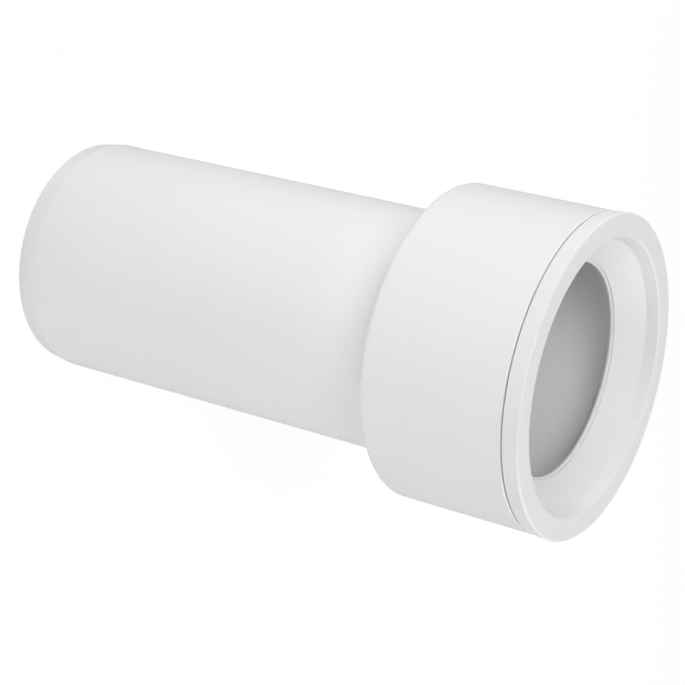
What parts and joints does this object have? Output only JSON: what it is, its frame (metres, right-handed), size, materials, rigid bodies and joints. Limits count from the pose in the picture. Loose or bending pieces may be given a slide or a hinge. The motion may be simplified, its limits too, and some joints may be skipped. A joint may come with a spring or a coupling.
{
  "type": "urinal connector",
  "caption": "Straight pipe connector: a plain spigot with a lead-in taper, a short wider socket, and a soft lip seal seated in the socket's mouth.",
  "frame": {"origin": "centre of the spigot's end face, on which the part stands", "axes": "+Z along the axis of the bore, from the spigot's end to the seal's mouth; the part is round, so X and Y are any two directions square to it"},
  "size_m": [0.0652, 0.0652, 0.1252],
  "materials": {
    "body_plastic": "gloss white, moulded",
    "seal_rubber": "satin white, soft"
  },
  "bodies": {
    "root": {"body": "body_plastic", "seal": "seal_rubber"}
  },
  "joints": []
}
